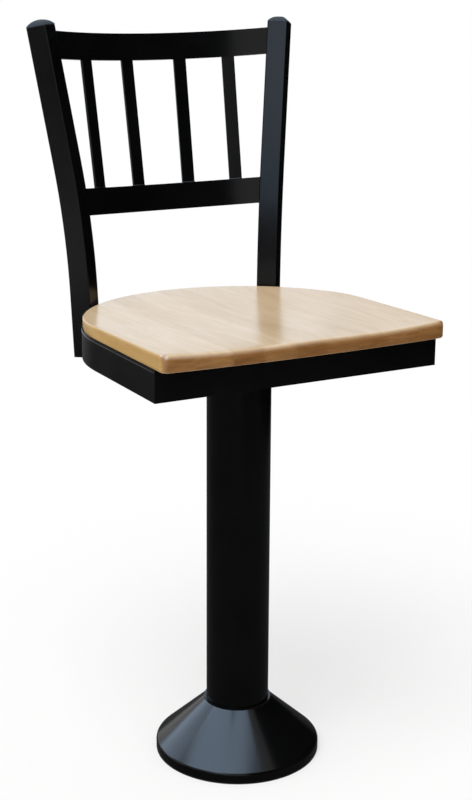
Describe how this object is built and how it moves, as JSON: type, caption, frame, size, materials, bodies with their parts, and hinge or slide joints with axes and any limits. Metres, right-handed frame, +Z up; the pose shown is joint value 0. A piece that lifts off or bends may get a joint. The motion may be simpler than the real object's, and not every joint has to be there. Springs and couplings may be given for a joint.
{
  "type": "floor-mounted swivel counter stool",
  "caption": "Floor-fixed counter stool: a round column with a conical base cover carries a swivelling saddle-shaped wood seat in a black steel frame with a slatted, outward-leaning back.",
  "frame": {"origin": "on the floor, on the column's axis, at the middle of the floor flange's underside", "axes": "+Z up along the column, the seat faces -Y, +X to the right seen from the front"},
  "size_m": [0.4732, 0.5337, 1.17],
  "materials": {
    "black_coat": "satin",
    "zinc_steel": "satin",
    "bearing_steel": "polished",
    "cage_nylon": "matte",
    "plug_plastic": "satin",
    "maple": "gloss clear coat"
  },
  "bodies": {
    "pedestal": {"floor_flange": "black_coat", "column_tube": "black_coat", "column_top_plate": "black_coat", "swivel_lower_plate": "zinc_steel", "swivel_lower_screws": "zinc_steel", "swivel_lower_nuts": "zinc_steel", "king_bolt": "zinc_steel", "king_washer": "zinc_steel", "king_nut": "zinc_steel"},
    "ball_cage": {"swivel_ball_cage": "cage_nylon", "swivel_balls": "bearing_steel"},
    "base_cover": {"base_cover": "black_coat"},
    "seat": {"swivel_upper_plate": "zinc_steel", "swivel_upper_bolts": "zinc_steel", "swivel_weld_nuts": "zinc_steel", "support_rail_left": "black_coat", "support_rail_right": "black_coat", "apron_band": "black_coat", "apron_front_rail": "black_coat", "wood_seat": "maple", "seat_screws": "zinc_steel", "post_left": "black_coat", "post_right": "black_coat", "post_cap_left": "plug_plastic", "post_cap_right": "plug_plastic", "post_plug_left": "plug_plastic", "post_plug_right": "plug_plastic", "crest_rail": "black_coat", "lower_rail": "black_coat", "slat_1": "black_coat", "slat_2": "black_coat", "slat_3": "black_coat", "slat_4": "black_coat"}
  },
  "joints": [
    {"name": "seat_swivel", "type": "hinge", "parent": "pedestal", "child": "seat", "pos_m": [0, 0, 0.6761], "axis": [0, 0, 1], "continuous": true},
    {"name": "ball_cage_turn", "type": "hinge", "parent": "pedestal", "child": "ball_cage", "pos_m": [0, 0, 0.6761], "axis": [0, 0, 1], "continuous": true},
    {"name": "cover_lift", "type": "slide", "parent": "pedestal", "child": "base_cover", "axis": [0, 0, 1], "range_m": [0, 0.55]}
  ],
  "couplings": [
    {"joint": "ball_cage_turn", "follows": "seat_swivel", "ratio": 0.5}
  ]
}
